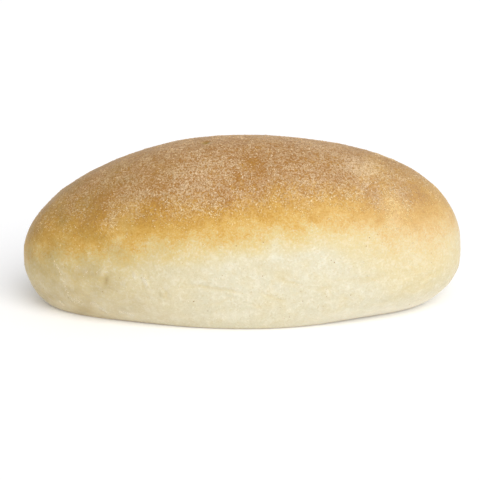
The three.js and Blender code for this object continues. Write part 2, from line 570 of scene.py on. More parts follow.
@dataclass(frozen=True)
class Bake:
    """Where the oven has browned the crust: a cap with a soft, wavy lower border."""

    border_height: float = 30.8
    border_slope: float = 0.085
    border_droop: float = 0.0021
    waves: tuple[Wave, ...] = WAVES
    spots: tuple[Spot, ...] = AMBER_SPOTS
    ripples: Unevenness = Unevenness((15.0, 11.0, 8.0), 1.9, octaves=3, phase=2.4)
    stray: Unevenness = Unevenness((7.0, 7.0, 6.0), 3.0, octaves=2, phase=7.3)
    pale_reach: float = 9.0
    brown_reach: float = 13.0
    soft_end: Ramp = Ramp(24.0, 46.0)
    soft_below: float = 14.0
    soft_above: float = 8.0
    soft_toe: float = 0.6
    golden_end: Ramp = Ramp(-2.0, -34.0, 6.0)
    light_end: Ramp = Ramp(5.0, 70.0, 0.08)
    dull_end: Ramp = Ramp(-30.0, -66.0, 0.05)
    spotted: Ramp = Ramp(0.2, 0.6)
    left_tan: Ramp = Ramp(-2.0, -58.0, 0.22)
    right_tan: Ramp = Ramp(40.0, 66.0, 0.05)
    tan_overlap: float = 0.35
    # Drabber towards the left end: partly the crust's own duller tone, partly painted shade where
    # the light falls off to the left.
    drab_and_shaded_end: Ramp = Ramp(0.0, -62.0, 0.32)
    drab_patches: Unevenness = Unevenness((7.0, 6.0, 5.0), 0.7, octaves=3, phase=1.1)
    drab_right: Ramp = Ramp(24.0, 50.0, 0.05)
    drab_above: Ramp = Ramp(14.0, 26.0)
    drab_marks: tuple[Streak, ...] = DRAB_MARKS
    # Darker in the small notch on the crown.
    notch_dark: Spot = Spot(-11.5, -3.2, 1.1, 1.2)

    def border_at(self, points: Array) -> Array:
        """Return the height of the border between the pale flank and the cap."""
        x = points[:, 0]
        return (self.border_height + self.border_slope * x - self.border_droop * x * x
                + total(self.waves, points))

    def cap(self, points: Array) -> Array:
        """Say how far up the browned cap points lie.

        Args:
            points: Points on the smooth roll.

        Returns:
            0 on the flank, rising to 1 where the cap has its full tone.
        """
        softer = self.soft_end.at(points[:, 0])
        below = self.pale_reach + self.soft_below * softer
        above = self.brown_reach + self.soft_above * softer + self.golden_end.at(points[:, 0])
        height = points[:, 2] - self.border_at(points) - self.ripples.at(points)
        share = np.clip((height + below) / (below + above), 0.0, 1.0)
        return share ** (1.0 + self.soft_toe * softer)

    def browning(self, points: Array, cap: Array) -> Array:
        """Say how baked the crust is.

        Args:
            points: Points on the smooth roll.
            cap: How far up the cap each lies.

        Returns:
            0 on the pale flank, rising to 1 on the crown.
        """
        x = points[:, 0]
        share = cap * (1.0 - self.light_end.at(x)) * (1.0 - self.dull_end.at(x))
        extra = total_on_cap(self.spots, points + self.stray.at(points)[:, None])
        share = np.clip(share + extra * self.spotted.at(share), 0.0, 1.0)
        tan = self.left_tan.at(x) + self.right_tan.at(x)
        return np.maximum(share, tan) + self.tan_overlap * np.minimum(share, tan)

    def dullness_and_shade(self, points: Array) -> Array:
        """Say how dull and drab the skin is, with painted shade on the left end.

        Args:
            points: Points on the smooth roll.

        Returns:
            The share of the drab tone at each point.
        """
        # Painted shade and a duller tone towards the left end, in uneven patches.
        drab_and_shaded_left = self.drab_and_shaded_end.at(points[:, 0]) * (1.0 + self.drab_patches.at(points))
        rightward = self.drab_right.at(points[:, 0]) * self.drab_above.at(points[:, 2])
        marks = total(self.drab_marks, points) + total_on_cap((self.notch_dark,), points)
        return np.clip(drab_and_shaded_left + rightward + marks, 0.0, 1.0)


@dataclass(frozen=True)
class FlourCover:
    """How thickly the dusting lies on each part of the crust."""

    patches: tuple[Spot, ...] = FLOUR_PATCHES
    streaks: tuple[Streak, ...] = FLOUR_STREAKS
    clouds: Unevenness = Unevenness((13.0, 11.0, 10.0), 0.20, octaves=3, phase=6.6)
    stray_along: Unevenness = Unevenness((8.0, 8.0, 6.0), 4.0, octaves=2, phase=1.9)
    stray_across: Unevenness = Unevenness((8.0, 8.0, 6.0), 4.0, octaves=2, phase=5.2)
    breaks: Unevenness = Unevenness((2.4, 2.4, 2.0), 0.9, octaves=2, phase=3.7)
    usual: float = 0.50
    least: float = 0.16
    most: float = 1.3
    left_bare: Ramp = Ramp(-15.0, -50.0, 0.14)
    right_bare: Ramp = Ramp(30.0, 60.0, 0.07)
    early_left: Ramp = Ramp(-20.0, -45.0, 0.14)
    early_right: Ramp = Ramp(30.0, 50.0, 0.10)
    covered: Ramp = Ramp(0.38, 0.95)
    flank_dust: float = 0.006
    rubbed_share: float = 0.3
    rubbed_stray: float = 0.2
    rubbed_usual: float = 0.6
    rubbed_most: float = 1.4
    right_film: Ramp = Ramp(13.0, 60.0, 0.24)
    film_from: Ramp = Ramp(0.1, 0.4)
    film_thins: Ramp = Ramp(0.6, 0.95, 0.6)
    patch_film: Ramp = Ramp(0.4, 0.75, 0.22)
    streak_film: float = 0.70
    # Lighter towards the foot: partly bench flour, partly painted light in place of light thrown up
    # from the table.
    floured_and_lit_left_foot: Ramp = Ramp(-5.0, -40.0, 0.27)
    floured_and_lit_left_rise: Ramp = Ramp(18.0, 0.0)
    floured_and_lit_right_foot: Ramp = Ramp(5.0, 45.0, 0.50)
    floured_and_lit_right_rise: Ramp = Ramp(9.5, 0.0)

    def density(self, points: Array, cap: Array) -> Array:
        """Say how much flour lies on the crust.

        Args:
            points: Points on the crust.
            cap: How far up the cap each lies.

        Returns:
            The share of flour at each point.
        """
        x = points[:, 0]
        strayed = points.copy()
        strayed[:, 0] += self.stray_along.at(points)
        strayed[:, 1] += self.stray_across.at(points)
        early = self.early_left.at(x) + self.early_right.at(x)
        cover = self.covered.at(cap + early * (1.0 - cap))
        ends = self.left_bare.at(x) + self.right_bare.at(x)
        extra = total_on_cap(self.patches, strayed)
        thickness = self.usual + self.clouds.at(points) + extra - ends
        dusted = np.clip(thickness, self.least, self.most)
        bare = (1.0 - cover) * (self.flank_dust + self.rubbed_share * self.rubbed(points))
        return np.clip(cover * dusted + bare, 0.0, self.most)

    def rubbed(self, points: Array) -> Array:
        """Say how thickly bench flour is rubbed along the streaks.

        Args:
            points: Points on the crust.

        Returns:
            The amount at each point, with chance breaks.
        """
        nudged = points.copy()
        nudged[:, 0] += self.rubbed_stray * self.stray_along.at(points)
        nudged[:, 2] += self.rubbed_stray * self.stray_across.at(points)
        broken = np.clip(self.rubbed_usual + self.breaks.at(points), 0.0, self.rubbed_most)
        return total(self.streaks, nudged) * broken

    def film(self, points: Array, cap: Array) -> Array:
        """Say how much an even film of flour dulls the crust, and how much painted light brightens
        its foot.

        Args:
            points: Points on the crust.
            cap: How far up the cap each lies.

        Returns:
            The share of the film, painted light included, at each point.
        """
        x, z = points[:, 0], points[:, 2]
        even = self.right_film.at(x) * self.film_from.at(cap) * (1.0 - self.film_thins.at(cap))
        thick = np.maximum(total_on_cap(self.patches, points), 0.0) * self.patch_film.at(cap)
        lines = self.streak_film * self.rubbed(points)
        # Painted light along the foot, with bench flour.
        low = self.floured_and_lit_left_foot.at(x) * self.floured_and_lit_left_rise.at(z)
        low = low + self.floured_and_lit_right_foot.at(x) * self.floured_and_lit_right_rise.at(z)
        return np.clip(even + thick + lines + low, 0.0, 1.0)


# ---------------------------------------------------------------- shader graphs


class Graph:
    """A node tree under construction, with short calls for the nodes it needs."""

    MIX_SHARE, MIX_FIRST, MIX_SECOND, MIX_RESULT = 0, 6, 7, 2  # the colour sockets of a mix node

    def __init__(self, tree: Tree) -> None:
        """Empty the tree and keep it."""
        self.tree = tree
        tree.nodes.clear()

    def add(self, kind: str, feeds: dict | None = None, **settings: object) -> bpy.types.Node:
        """Add a node.

        Args:
            kind: The node's Blender type.
            feeds: A value or an output for each named or numbered input.
            **settings: Values for the node's own options.

        Returns:
            The new node.
        """
        node = self.tree.nodes.new(kind)
        for name, value in settings.items():
            setattr(node, name, value)
        for key, source in (feeds or {}).items():
            if isinstance(source, Socket):
                self.tree.links.new(source, node.inputs[key])
            else:
                node.inputs[key].default_value = source
        return node

    def math(self, operation: str, first: Source, second: Source = 0.0,
             clamp: bool = False) -> Socket:
        """Return the result of one operation on two values."""
        feeds = {0: first, 1: second}
        return self.add("ShaderNodeMath", feeds, operation=operation, use_clamp=clamp).outputs[0]

    def times(self, *values: Source) -> Socket:
        """Return the product of two or more values."""
        return reduce(lambda first, second: self.math("MULTIPLY", first, second), values)

    def ease(self, value: Source, start: Source, end: Source, low: float = 0.0,
             high: float = 1.0) -> Socket:
        """Return the value eased from low, where it is at start, to high, where it is at end."""
        feeds = {"Value": value, "From Min": start, "From Max": end, "To Min": low, "To Max": high}
        return self.add("ShaderNodeMapRange", feeds, interpolation_type="SMOOTHSTEP").outputs[0]

    def mix(self, share: Source, first: Source, second: Source) -> Socket:
        """Return the mix of two colours that holds this share of the second."""
        feeds = {self.MIX_SHARE: share, self.MIX_FIRST: first, self.MIX_SECOND: second}
        return self.add("ShaderNodeMix", feeds, data_type="RGBA").outputs[self.MIX_RESULT]

    def ramp(self, value: Source, stops: tuple[tuple[float, Tone], ...]) -> Socket:
        """Turn a value into a colour.

        Args:
            value: The value, from 0 to 1.
            stops: Pairs of a place and a colour, in rising order.

        Returns:
            The colour.
        """
        node = self.add("ShaderNodeValToRGB", {"Fac": value})
        elements = node.color_ramp.elements
        elements[0].position, elements[0].color = stops[0]
        elements[1].position, elements[1].color = stops[-1]
        for place, tone in stops[1:-1]:
            elements.new(place).color = tone
        return node.outputs["Color"]


class Effect(Graph):
    """A node group under construction, which turns a place into a mask."""

    def __init__(self, name: str, **inputs: float) -> None:
        """Start a group.

        Args:
            name: The group's name.
            **inputs: A default for each number that the group takes.
        """
        super().__init__(bpy.data.node_groups.new(name, "ShaderNodeTree"))
        face = self.tree.interface
        face.new_socket("Vector", in_out="INPUT", socket_type="NodeSocketVector")
        for label, default in inputs.items():
            socket = face.new_socket(label, in_out="INPUT", socket_type="NodeSocketFloat")
            socket.default_value = default
        face.new_socket("Mask", in_out="OUTPUT", socket_type="NodeSocketFloat")
        self.given = self.add("NodeGroupInput").outputs

    def noise(self, scale: Source, detail: Source, roughness: float,
              distortion: float = 0.0) -> Socket:
        """Return cloudy noise between about 0 and 1."""
        feeds = {"Vector": self.given["Vector"], "Scale": scale, "Detail": detail,
                 "Roughness": roughness, "Distortion": distortion}
        return self.add("ShaderNodeTexNoise", feeds).outputs["Fac"]

    def close(self, mask: Socket) -> Tree:
        """Give out the mask and return the finished group."""
        self.add("NodeGroupOutput", {"Mask": mask})
        return self.tree


def soft_mottle() -> Tree:
    """Build the group of soft cloudy patches.

    Returns:
        The group.
    """
    group = Effect("soft_mottle", Size=0.008, Low=0.35, High=0.65, Detail=2.0)
    scale = group.math("DIVIDE", 1.0, group.given["Size"])
    cloud = group.noise(scale, group.given["Detail"], roughness=0.55, distortion=0.4)
    return group.close(group.ease(cloud, group.given["Low"], group.given["High"]))


def flour_speckle() -> Tree:
    """Build the group of fine dots and short winding lines, as dry flour settles.

    Returns:
        The group.
    """
    line_scale, gap_scale, gap_edges, dot_edge = 0.62, 0.3, (0.30, 0.52), 0.09
    group = Effect("flour_speckle", Size=0.0006, Line=0.058, Dot=0.52)
    scale = group.math("DIVIDE", 1.0, group.given["Size"])
    coarser = group.times(scale, line_scale)
    winding = group.noise(coarser, detail=1.0, roughness=0.5, distortion=0.6)
    offset = group.math("ABSOLUTE", group.math("SUBTRACT", winding, 0.5))
    line = group.ease(offset, group.given["Line"], 0.0)
    edge = group.math("ADD", group.given["Dot"], dot_edge)
    grit = group.noise(scale, detail=2.0, roughness=0.6, distortion=0.8)
    dot = group.ease(grit, group.given["Dot"], edge)
    gaps = group.noise(group.times(scale, gap_scale), detail=1.0, roughness=0.5)
    kept = group.ease(gaps, *gap_edges)
    return group.close(group.math("MAXIMUM", group.times(line, kept), dot))


def pore_dots() -> Tree:
    """Build the group of sparse round pits, whose mask is 1 in the middle of each.

    Returns:
        The group.
    """
    group = Effect("pore_dots", Spacing=0.004, Radius=0.12, Share=0.3)
    scale = group.math("DIVIDE", 1.0, group.given["Spacing"])
    feeds = {"Vector": group.given["Vector"], "Scale": scale, "Randomness": 1.0}
    cells = group.add("ShaderNodeTexVoronoi", feeds)
    pick = group.add("ShaderNodeSeparateColor", {"Color": cells.outputs["Color"]})
    kept = group.math("LESS_THAN", pick.outputs["Red"], group.given["Share"])
    dot = group.ease(cells.outputs["Distance"], group.given["Radius"], 0.0)
    return group.close(group.times(dot, kept))


@dataclass(frozen=True)
class Effects:
    """The node groups that several finishes share. Their sizes are in metres."""

    mottle: Tree
    speckle: Tree
    pores: Tree

    @classmethod
    def make(cls) -> "Effects":
        """Build each group once and return them all."""
        return cls(soft_mottle(), flour_speckle(), pore_dots())


class Paint(Graph):
    """A material under construction, with the shared effects at hand."""

    def __init__(self, name: str, effects: Effects) -> None:
        """Start a material on its piece's own coordinates.

        Args:
            name: The material's name.
            effects: The shared effects.
        """
        self.made = bpy.data.materials.new(name)
        self.made.use_nodes = True
        super().__init__(self.made.node_tree)
        self.effects = effects
        self.where = self.add("ShaderNodeTexCoord").outputs["Object"]

    def place(self, group: Tree, **feeds: Source) -> Socket:
        """Place a shared effect with its own values, and return its mask."""
        feeds["Vector"] = self.where
        return self.add("ShaderNodeGroup", feeds, node_tree=group).outputs["Mask"]

    def mottle(self, size: float, low: float = 0.35, high: float = 0.65,
               **more: float) -> Socket:
        """Return cloudy patches of a size in millimetres, between two levels of the noise."""
        return self.place(self.effects.mottle, Size=size * MM, Low=low, High=high, **more)

    def attribute(self, name: str) -> Socket:
        """Return one of the piece's own numbers, stored on its vertices."""
        return self.add("ShaderNodeAttribute", attribute_name=name).outputs["Fac"]

    def flour_tone(self, places: tuple[float, ...], *tones: Tone) -> Socket:
        """Return the colour of flour, from one tone at each place of the crust's browning."""
        return self.ramp(self.attribute("browning"), tuple(zip(places, tones)))

    def toast(self, speck: Source, share: float) -> Socket:
        """Return how toasted each grain is, with specks on it that take up the other share."""
        toast = self.times(self.attribute("toast"), share)
        return self.math("ADD", self.times(speck, 1.0 - share), toast)

    def bump(self, height: Source, strength: float, depth: float) -> Socket:
        """Return the normal of a surface roughened to a depth in millimetres."""
        feeds = {"Height": height, "Strength": strength, "Distance": depth * MM}
        return self.add("ShaderNodeBump", feeds).outputs["Normal"]

    def coat(self, feeds: dict[str, Source]) -> bpy.types.Material:
        """Finish the material with one plain shader.

        Args:
            feeds: A value or an output for each named input of the shader.

        Returns:
            The material.
        """
        shader = self.add("ShaderNodeBsdfPrincipled", feeds)
        self.add("ShaderNodeOutputMaterial", {"Surface": shader.outputs["BSDF"]})
        return self.made


# ---------------------------------------------------------------- finishes


@dataclass(frozen=True)
class Blotches:
    """One size of soft blotches, with the tone that they lean to."""

    size: float
    low: float
    high: float
    share: float
    tone: Tone


SKIN_BLOTCHES = (
    Blotches(6.0, 0.45, 0.72, 0.28, colour(217, 201, 157)),
    Blotches(2.6, 0.48, 0.70, 0.36, colour(230, 225, 206)),
    Blotches(1.7, 0.52, 0.76, 0.30, colour(203, 187, 140)),
    Blotches(0.8, 0.48, 0.72, 0.38, colour(231, 225, 206)),
    Blotches(0.5, 0.48, 0.74, 0.42, colour(196, 178, 132)),
)

BASE_BLOTCHES = (
    Blotches(9.0, 0.42, 0.72, 0.40, colour(178, 128, 72)),
    Blotches(2.4, 0.42, 0.72, 0.30, colour(178, 128, 72)),
    Blotches(4.6, 0.42, 0.72, 0.16, colour(226, 204, 166)),
    Blotches(0.8, 0.42, 0.72, 0.30, colour(226, 204, 166)),
)


@dataclass(frozen=True)
class CrustFinish:
    """The skin of the roll: cream flanks, a golden border and a brown, floury cap."""

    name: str = "baked_crust"
    stops: tuple = (
        (0.00, colour(210, 203, 177)),
        (0.16, colour(211, 197, 155)),
        (0.32, colour(209, 185, 123)),
        (0.48, colour(206, 166, 88)),
        (0.66, colour(191, 144, 58)),
        (0.84, colour(174, 125, 47)),
        (1.00, colour(157, 107, 41)),
    )
    base_stops: tuple = (
        (0.20, colour(216, 192, 140)),
        (0.45, colour(214, 176, 110)),
        (1.00, colour(206, 160, 96)),
    )
    baked_flour: Tone = colour(223, 195, 160)
    golden_flour: Tone = colour(234, 203, 138)
    # Raw flour, also the tone of the painted light on the foot.
    raw_flour_and_foot_light: Tone = colour(242, 237, 221)
    # Painted shade in the hollows of the folds and dimples.
    crease_shade_tone: Tone = colour(200, 180, 126)
    pore_tone: Tone = colour(160, 124, 72)
    sheen_tint: Tone = colour(250, 240, 228)
    bake_blotches: tuple = ((8.0, 0.12), (2.6, 0.09), (0.9, 0.09), (0.45, 0.13))
    cap_blotches: tuple = ((0.5, 0.24),)
    baked: Span = (0.04, 0.45)
    on_cap: Span = (0.5, 0.85)
    blotch_edges: Span = (0.3, 0.7)
    blotched_skin: Span = (0.55, 0.12)
    pored_skin: Span = (0.62, 0.3)
    pore_spacing: float = 2.6
    pore_radius: float = 0.10
    pore_share: float = 0.45
    pore_tint: float = 0.38
    crease_shade_strength: float = 0.8
    haze_places: Span = (0.28, 0.60)
    speck_size: float = 0.6
    speck_gain: float = 0.95
    speck_floor: float = 0.02
    rough: Span = (0.58, 0.86)
    floured: Span = (0.0, 0.7)
    underneath: Span = (0.0, 0.3)
    sheen: float = 0.40
    subsurface: float = 0.08
    subsurface_depth: float = 1.6
    grain_size: float = 0.5
    pucker_size: float = 1.9
    grain_edges: Span = (0.2, 0.8)
    grain_on_skin: float = 0.45
    bump_share: float = 0.8
    bump_depth: float = 0.14

    def material(self, effects: Effects) -> bpy.types.Material:
        """Build the crust's material.

        Args:
            effects: The shared effects.

        Returns:
            The material.
        """
        paint = Paint(self.name, effects)
        browning = self._uneven_browning(paint)
        pore = paint.place(effects.pores, Spacing=self.pore_spacing * MM, Radius=self.pore_radius,
                           Share=self.pore_share)
        crust = paint.ramp(browning, self.stops)
        pale = paint.ease(browning, *self.blotched_skin)
        crust = self._blotched(paint, crust, SKIN_BLOTCHES, pale)
        # Painted shade, deepest where the folds and dimples sink most.
        crease = paint.times(paint.attribute("crease_shade"), self.crease_shade_strength)
        crust = paint.mix(crease, crust, self.crease_shade_tone)
        pitted = paint.times(pore, paint.ease(browning, *self.pored_skin), self.pore_tint)
        crust = paint.mix(pitted, crust, self.pore_tone)

        haze = paint.flour_tone(self.haze_places, self.raw_flour_and_foot_light, self.baked_flour)
        dust = paint.flour_tone(FLOUR_PLACES, self.raw_flour_and_foot_light, self.golden_flour, self.baked_flour)
        speck = paint.place(effects.speckle, Size=self.speck_size * MM)
        grain = paint.math("ADD", paint.times(speck, self.speck_gain), self.speck_floor)
        specks = paint.math("MULTIPLY", paint.attribute("flour"), grain, clamp=True)
        # The flour film, with painted light on the foot.
        film = paint.attribute("film")
        flour = paint.math("ADD", specks, film, clamp=True)
        dusted = paint.mix(specks, paint.mix(film, crust, haze), dust)
        # The drab tone: dull marks, and painted shade on the left end.
        dusted = paint.mix(paint.attribute("dullness_and_shade"), dusted, DULL_AND_SHADED_TONE)

        underside = paint.attribute("underside")
        base = self._blotched(paint, paint.ramp(underside, self.base_stops), BASE_BLOTCHES, 1.0)
        return paint.coat({
            "Base Color": paint.mix(paint.ease(underside, *self.underneath), dusted, base),
            "Roughness": paint.ease(flour, *self.floured, *self.rough),
            "Normal": self._bumps(paint, flour, browning, pore),
            "IOR": 1.45, "Specular IOR Level": 0.32,
            "Subsurface Weight": self.subsurface, "Subsurface Radius": (1.0, 0.6, 0.35),
            "Subsurface Scale": self.subsurface_depth * MM,
            "Sheen Weight": self.sheen, "Sheen Roughness": 0.3, "Sheen Tint": self.sheen_tint,
        })

    def _uneven_browning(self, paint: Paint) -> Socket:
        """Break up the stored browning with blotches down to the size of a grain.

        Args:
            paint: The material under construction.

        Returns:
            The browning.
        """
        level = paint.attribute("browning")
        baked = paint.ease(level, *self.baked)
        on_cap = paint.ease(level, *self.on_cap)
        for blotches, mask in ((self.bake_blotches, baked), (self.cap_blotches, on_cap)):
            for size, strength in blotches:
                shift = paint.math("SUBTRACT", paint.mottle(size, *self.blotch_edges), 0.5)
                level = paint.math("ADD", level, paint.times(shift, strength, mask))
        return paint.math("ADD", level, 0.0, clamp=True)

    def _blotched(self, paint: Paint, tone: Source, layers: tuple[Blotches, ...],
                  strength: Source) -> Socket:
        """Lay soft blotches over a colour.

        Args:
            paint: The material under construction.
            tone: The colour so far.
            layers: The blotches, from the first to the last.
            strength: How much of them shows.

        Returns:
            The blotched colour.
        """
        for layer in layers:
            mask = paint.mottle(layer.size, layer.low, layer.high)
            tone = paint.mix(paint.times(mask, strength, layer.share), tone, layer.tone)
        return tone

    def _bumps(self, paint: Paint, flour: Source, browning: Source, pore: Source) -> Socket:
        """Roughen the skin with flour, fine grain and pores.

        Args:
            paint: The material under construction.
            flour: The share of flour that shows.
            browning: How baked the crust is.
            pore: The mask of the pores.

        Returns:
            The bumped normal.
        """
        grain = paint.mottle(self.grain_size, *self.grain_edges, Detail=3.0)
        fine = paint.times(grain, paint.ease(browning, *self.grain_edges, self.grain_on_skin, 1.0))
        pucker = paint.mottle(self.pucker_size, *self.grain_edges)
        height = paint.math("ADD", paint.times(flour, self.bump_share), fine)
        height = paint.math("ADD", height, paint.times(pucker, self.bump_share))
        height = paint.math("SUBTRACT", height, paint.times(pore, self.bump_share))
        return paint.bump(height, 0.6, self.bump_depth)


@dataclass(frozen=True)
class FlourFinish:
    """Dry grains of flour: toasted on the brown cap, white on the pale skin."""

    name: str = "dry_flour"
    raw: Tone = colour(233, 225, 202)
    golden: Tone = colour(236, 206, 143)
    baked: Tone = colour(233, 207, 172)
    toasted: Tone = colour(198, 160, 109)
    toasted_crust: Span = (0.65, 1.0)
    toast_share: float = 0.7
    speck_size: float = 0.3
    rough: Span = (0.8, 0.95)
    bump_depth: float = 0.03

    def material(self, effects: Effects) -> bpy.types.Material:
        """Build the flour's material.

        Args:
            effects: The shared effects.

        Returns:
            The material.
        """
        paint = Paint(self.name, effects)
        speck = paint.mottle(self.speck_size)
        toast = paint.toast(speck, self.toast_share)
        brown = paint.ease(paint.attribute("browning"), *self.toasted_crust)
        tone = paint.flour_tone(FLOUR_PLACES, self.raw, self.golden, self.baked)
        tone = paint.mix(paint.times(toast, brown), tone, self.toasted)
        return paint.coat({
            # The same drab tone, with the painted shade of the left end.
            "Base Color": paint.mix(paint.attribute("dullness_and_shade"), tone, DULL_AND_SHADED_TONE),
            "Roughness": paint.ease(speck, 0.0, 1.0, *self.rough),
            "Normal": paint.bump(speck, 0.3, self.bump_depth), "Specular IOR Level": 0.2,
        })


@dataclass(frozen=True)
class BranFinish:
    """Tiny brown flecks of bran in the pale skin."""

    name: str = "bran_fleck"
    light: Tone = colour(186, 150, 96)
    dark: Tone = colour(134, 98, 58)
    toast_share: float = 0.6
    streak_size: float = 0.4
    rough: Span = (0.6, 0.8)

    def material(self, effects: Effects) -> bpy.types.Material:
        """Build the bran's material.

        Args:
            effects: The shared effects.

        Returns:
            The material.
        """
        paint = Paint(self.name, effects)
        streak = paint.mottle(self.streak_size)
        toast = paint.toast(streak, self.toast_share)
        return paint.coat({
            "Base Color": paint.mix(toast, self.light, self.dark),
            "Roughness": paint.ease(streak, 0.0, 1.0, *self.rough),
        })


@dataclass(frozen=True)
class TableFinish:
    """The plain studio table, with a faint glow of its own that keeps it white."""

    name: str = "studio_table"
    tone: Tone = colour(251, 251, 252)
    shade: Tone = colour(249, 249, 250)
    cloud_size: float = 250.0
    glow: float = 0.08

    def material(self, effects: Effects) -> bpy.types.Material:
        """Build the table's material.

        Args:
            effects: The shared effects.

        Returns:
            The material.
        """
        paint = Paint(self.name, effects)
        return paint.coat({
            "Base Color": paint.mix(paint.mottle(self.cloud_size), self.tone, self.shade),
            "Roughness": 0.9, "Specular IOR Level": 0.1,
            "Emission Color": self.tone, "Emission Strength": self.glow,
        })


# ---------------------------------------------------------------- pieces


def object_from(name: str, mesh: bpy.types.Mesh, material: bpy.types.Material) -> bpy.types.Object:
    """Link a finished mesh to the scene.

    Args:
        name: The piece's name.
        mesh: Its mesh, in place and in metres.
        material: Its finish.

    Returns:
        The new object.
    """
    mesh.materials.append(material)
    piece = bpy.data.objects.new(name, mesh)
    bpy.context.scene.collection.objects.link(piece)
    return piece


def store(mesh: bpy.types.Mesh, name: str, values: Array) -> None:
    """Keep one number for each vertex, for the materials to read."""
    layer = mesh.attributes.new(name, "FLOAT", "POINT")
    layer.data.foreach_set("value", values.astype(np.float32))


def read(items: bpy.types.bpy_prop_collection, field: str, width: int = 1) -> Array:
    """Read one field of many items of a mesh.

    Args:
        items: The vertices, normals, faces or stored values.
        field: The field's name.
        width: How many numbers it holds.

    Returns:
        One row for each item, of as many numbers.
    """
    flat = np.empty(len(items) * width, np.float32)
    items.foreach_get(field, flat)
    return flat.reshape(-1, width).astype(float)


@dataclass(frozen=True)
class RollBody:
    """The roll itself: one closed skin with its folds, dents and flat base."""

    shape: RollShape
    relief: Relief
    bake: Bake
    flour: FlourCover
    finish: CrustFinish
    parts: tuple[int, int, int] = (184, 104, 104)
    on_base: Ramp = Ramp(0.45, 0.02)
    inward: Ramp = Ramp(1.0, 0.72)
    rim_bake: float = 0.22
    base_height: float = 0.05
    # How deep a hollow sinks before its painted shade shows in full.
    crease_shade_depth: float = 0.4
    edge_band: float = 1.6
    edge_rounds: int = 8

    def build(self, effects: Effects) -> bpy.types.Object:
        """Model, mark and dress the roll.

        Args:
            effects: The shared effects.

        Returns:
            The finished piece.
        """
        mesh = self._smooth_mesh()
        points = read(mesh.vertices, "co", 3) / MM
        cap = self.bake.cap(points)
        browning = self.bake.browning(points, cap)
        height = self.relief.height_at(points, browning)
        crust = points + self.shape.outward(points) * height[:, None]
        crust[:, 2] += self.relief.base_lift(points) * (points[:, 2] < self.base_height)
        crust[:, 2] = np.maximum(crust[:, 2], 0.0)
        mesh.vertices.foreach_set("co", (crust * MM).astype(np.float32).ravel())
        inward = self.inward.at(self.shape.base_share(points))
        underside = self.on_base.at(points[:, 2]) * blend(self.rim_bake, 1.0, inward)
        # Painted shade for the hollows of the folds and dimples.
        crease_shade = -self.relief.creases_at(points) / self.crease_shade_depth
        store(mesh, "browning", browning)
        store(mesh, "flour", self.flour.density(points, cap))
        store(mesh, "film", self.flour.film(points, cap))
        store(mesh, "dullness_and_shade", self.bake.dullness_and_shade(points))
        store(mesh, "underside", underside)
        store(mesh, "crease_shade", np.clip(crease_shade, 0.0, 1.0))
        mesh.shade_smooth()
        mesh.update()
        piece = object_from("roll_crust", mesh, self.finish.material(effects))
        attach(piece, BODY)
        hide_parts(NODE)
        return piece

    def _smooth_mesh(self) -> bpy.types.Mesh:
        """Model the smooth roll from a finely divided cube.

        Returns:
            The mesh, in metres.
        """
        shell = bmesh.new()
        bmesh.ops.create_cube(shell, size=CUBE_SIZE)
        for axis, count in enumerate(self.parts):
            rungs = [
                edge for edge in shell.edges
                if abs(edge.verts[0].co[axis] - edge.verts[1].co[axis]) > CUBE_SIZE / 2.0
            ]
            bmesh.ops.subdivide_edges(shell, edges=rungs, cuts=count - 1)
        points = self.shape.surface(np.array([vertex.co[:] for vertex in shell.verts]))
        for vertex, point in zip(shell.verts, points.tolist()):
            vertex.co = point
        edge = [vertex for vertex in shell.verts if self._near_base_edge(vertex)]
        for _ in range(self.edge_rounds):
            bmesh.ops.smooth_vert(shell, verts=edge, factor=0.5,
                                  use_axis_x=True, use_axis_y=True, use_axis_z=True)
        bmesh.ops.scale(shell, vec=(MM, MM, MM), verts=shell.verts)
        bmesh.ops.recalc_face_normals(shell, faces=shell.faces)
        mesh = bpy.data.meshes.new("roll_crust")
        shell.to_mesh(mesh)
        shell.free()
        return mesh

    def _near_base_edge(self, vertex: bmesh.types.BMVert) -> bool:
        """Return whether a vertex lies in the band that rounds off the base's edge."""
        near = (other for edge in vertex.link_edges for other in edge.verts)
        return vertex.co.z <= self.edge_band and any(other.co.z > TINY for other in near)


@dataclass(frozen=True)
class Skin:
    """The finished crust as arrays, in millimetres, for loose grains to settle on.

    Each row holds a vertex's place, its normal, how baked the crust is there and how dull, painted
    shade included.
    """

    rows: Array
    quads: Array
    areas: Array
    flour: Array

    @classmethod
    def of(cls, mesh: bpy.types.Mesh) -> "Skin":
        """Read the crust's mesh of four-sided faces.

        Args:
            mesh: The finished mesh.

        Returns:
            The skin.
        """
        points = read(mesh.vertices, "co", 3) / MM
        normals = read(mesh.vertex_normals, "vector", 3)
        stored = {name: read(mesh.attributes[name].data, "value")
                  for name in ("browning", "dullness_and_shade", "flour")}
        rows = np.hstack((points, normals, stored["browning"], stored["dullness_and_shade"]))
        quads = np.array([face.vertices[:] for face in mesh.polygons])
        areas = read(mesh.polygons, "area").ravel() / MM**2
        return cls(rows, quads, areas, stored["flour"].ravel())

    def settle(self, weights: Array, count: int, dice: np.random.Generator) -> Array:
        """Pick chance spots, more of them where the weights are high.

        Args:
            weights: The pull of each vertex.
            count: How many spots to pick.
            dice: The source of chance.

        Returns:
            One row for each spot.
        """
        pull = self.areas * weights[self.quads].mean(axis=1)
        faces = dice.choice(len(self.quads), size=count, p=pull / pull.sum())
        corners = self.rows[self.quads[faces]]
        u = dice.random(count)[:, None]
        v = dice.random(count)[:, None]
        near = blend(corners[:, 0], corners[:, 1], u)
        far = blend(corners[:, 3], corners[:, 2], u)
        return blend(near, far, v)

    def spot_on(self, side: Side, x: float, z: float) -> Array:
        """Find the spot on one flank at a given place and height.

        Args:
            side: The flank.
            x: The place along the roll.
            z: The height.

        Returns:
            One row.
        """
        distance = np.hypot(self.rows[:, 0] - x, self.rows[:, 2] - z)
        distance[self.rows[:, 1] * side.value < 0.0] = np.inf
        row = self.rows[int(np.argmin(distance))].copy()
        across, outward, upward = row[NORMAL]
        row[1] -= ((x - row[0]) * across + (z - row[2]) * upward) / outward
        row[0], row[2] = x, z
        return row


